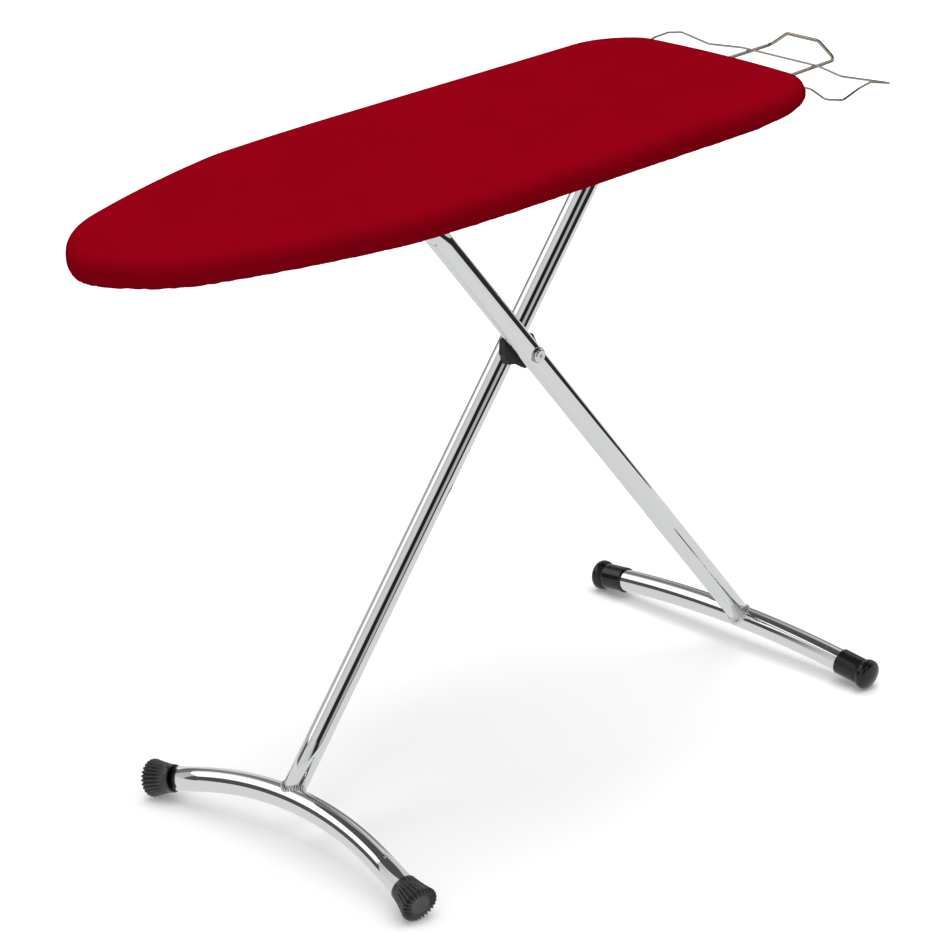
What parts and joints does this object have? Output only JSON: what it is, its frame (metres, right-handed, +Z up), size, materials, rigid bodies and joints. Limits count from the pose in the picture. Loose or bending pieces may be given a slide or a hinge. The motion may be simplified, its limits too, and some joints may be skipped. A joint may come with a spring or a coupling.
{
  "type": "folding ironing board",
  "caption": "Long narrow padded ironing board with a rounded point at one end, on crossed tube legs that fold flat, with a slide-out wire iron rest.",
  "frame": {"origin": "on the floor, under the middle of the overall box, with the board standing open at ironing height", "axes": "+X along the board from the pointed nose to the iron rest, +Z up, +Y across the board to the side with the release lever"},
  "size_m": [1.2879, 0.5064, 0.87],
  "materials": {
    "red_cover": "plain woven cotton",
    "grey_felt": "needled felt",
    "white_elastic": "woven elastic",
    "grey_enamel": "satin enamel",
    "zinc_steel": "zinc plated",
    "chrome_tube": "polished plating",
    "chrome_wire": "polished plating",
    "black_rubber": "satin rubber",
    "black_gloss": "glossy",
    "black_plastic": "matte"
  },
  "bodies": {
    "board": {"cover": "red_cover", "felt_pad": "grey_felt", "hem_elastic": "white_elastic", "deck_mesh": "grey_enamel", "frame_tube": "grey_enamel", "cross_braces": "grey_enamel", "rail_far": "zinc_steel", "rail_near": "zinc_steel", "hinge_bracket_far": "zinc_steel", "hinge_bracket_near": "zinc_steel", "hinge_rod": "zinc_steel", "rest_sockets": "zinc_steel", "rivets": "zinc_steel", "lever_bracket": "zinc_steel", "lever_pin": "zinc_steel", "lever_spring": "zinc_steel"},
    "front_leg": {"front_leg_tube": "chrome_tube", "front_foot_tube": "chrome_tube", "front_weld": "chrome_tube", "front_cap_far": "black_rubber", "front_cap_near": "black_rubber", "front_cross_tube": "chrome_tube", "hinge_bushes": "black_plastic", "pivot_bolt": "chrome_wire", "pivot_nut": "zinc_steel", "pivot_spacer": "black_plastic"},
    "rear_leg": {"rear_leg_tube": "chrome_tube", "rear_foot_tube": "chrome_tube", "rear_weld": "chrome_tube", "rear_cap_far": "black_gloss", "rear_cap_near": "black_gloss", "rear_cross_tube": "chrome_tube", "slide_pins": "zinc_steel", "slide_sleeves": "black_plastic", "slide_clips": "zinc_steel", "pivot_bush": "black_plastic", "pivot_pad_near": "chrome_wire"},
    "release_lever": {"lever_strip": "zinc_steel", "lever_grip": "black_plastic"},
    "iron_rest": {"rest_frame_wire": "chrome_wire", "rest_tray_wire": "chrome_wire", "rest_welds": "chrome_wire", "rest_stops": "black_plastic"}
  },
  "joints": [
    {"name": "leg_fold", "type": "hinge", "parent": "board", "child": "front_leg", "pos_m": [0.28653, 0, 0.822], "axis": [0, 1, 0], "range_deg": [0, 48.6]},
    {"name": "leg_scissor", "type": "hinge", "parent": "front_leg", "child": "rear_leg", "pos_m": [0.0765, 0, 0.562], "axis": [0, 1, 0], "range_deg": [-95.6, 0]},
    {"name": "lever_squeeze", "type": "hinge", "parent": "board", "child": "release_lever", "pos_m": [-0.112, 0.04, 0.841], "axis": [0, 1, 0], "range_deg": [0, 1.2], "stiffness_Nm_per_rad": 2, "springref_deg": -11.46},
    {"name": "iron_rest_slide", "type": "slide", "parent": "board", "child": "iron_rest", "axis": [1, 0, 0], "range_m": [0, 0.06]}
  ],
  "couplings": [
    {"joint": "leg_scissor", "follows": "leg_fold", "ratio": -1.9625}
  ]
}
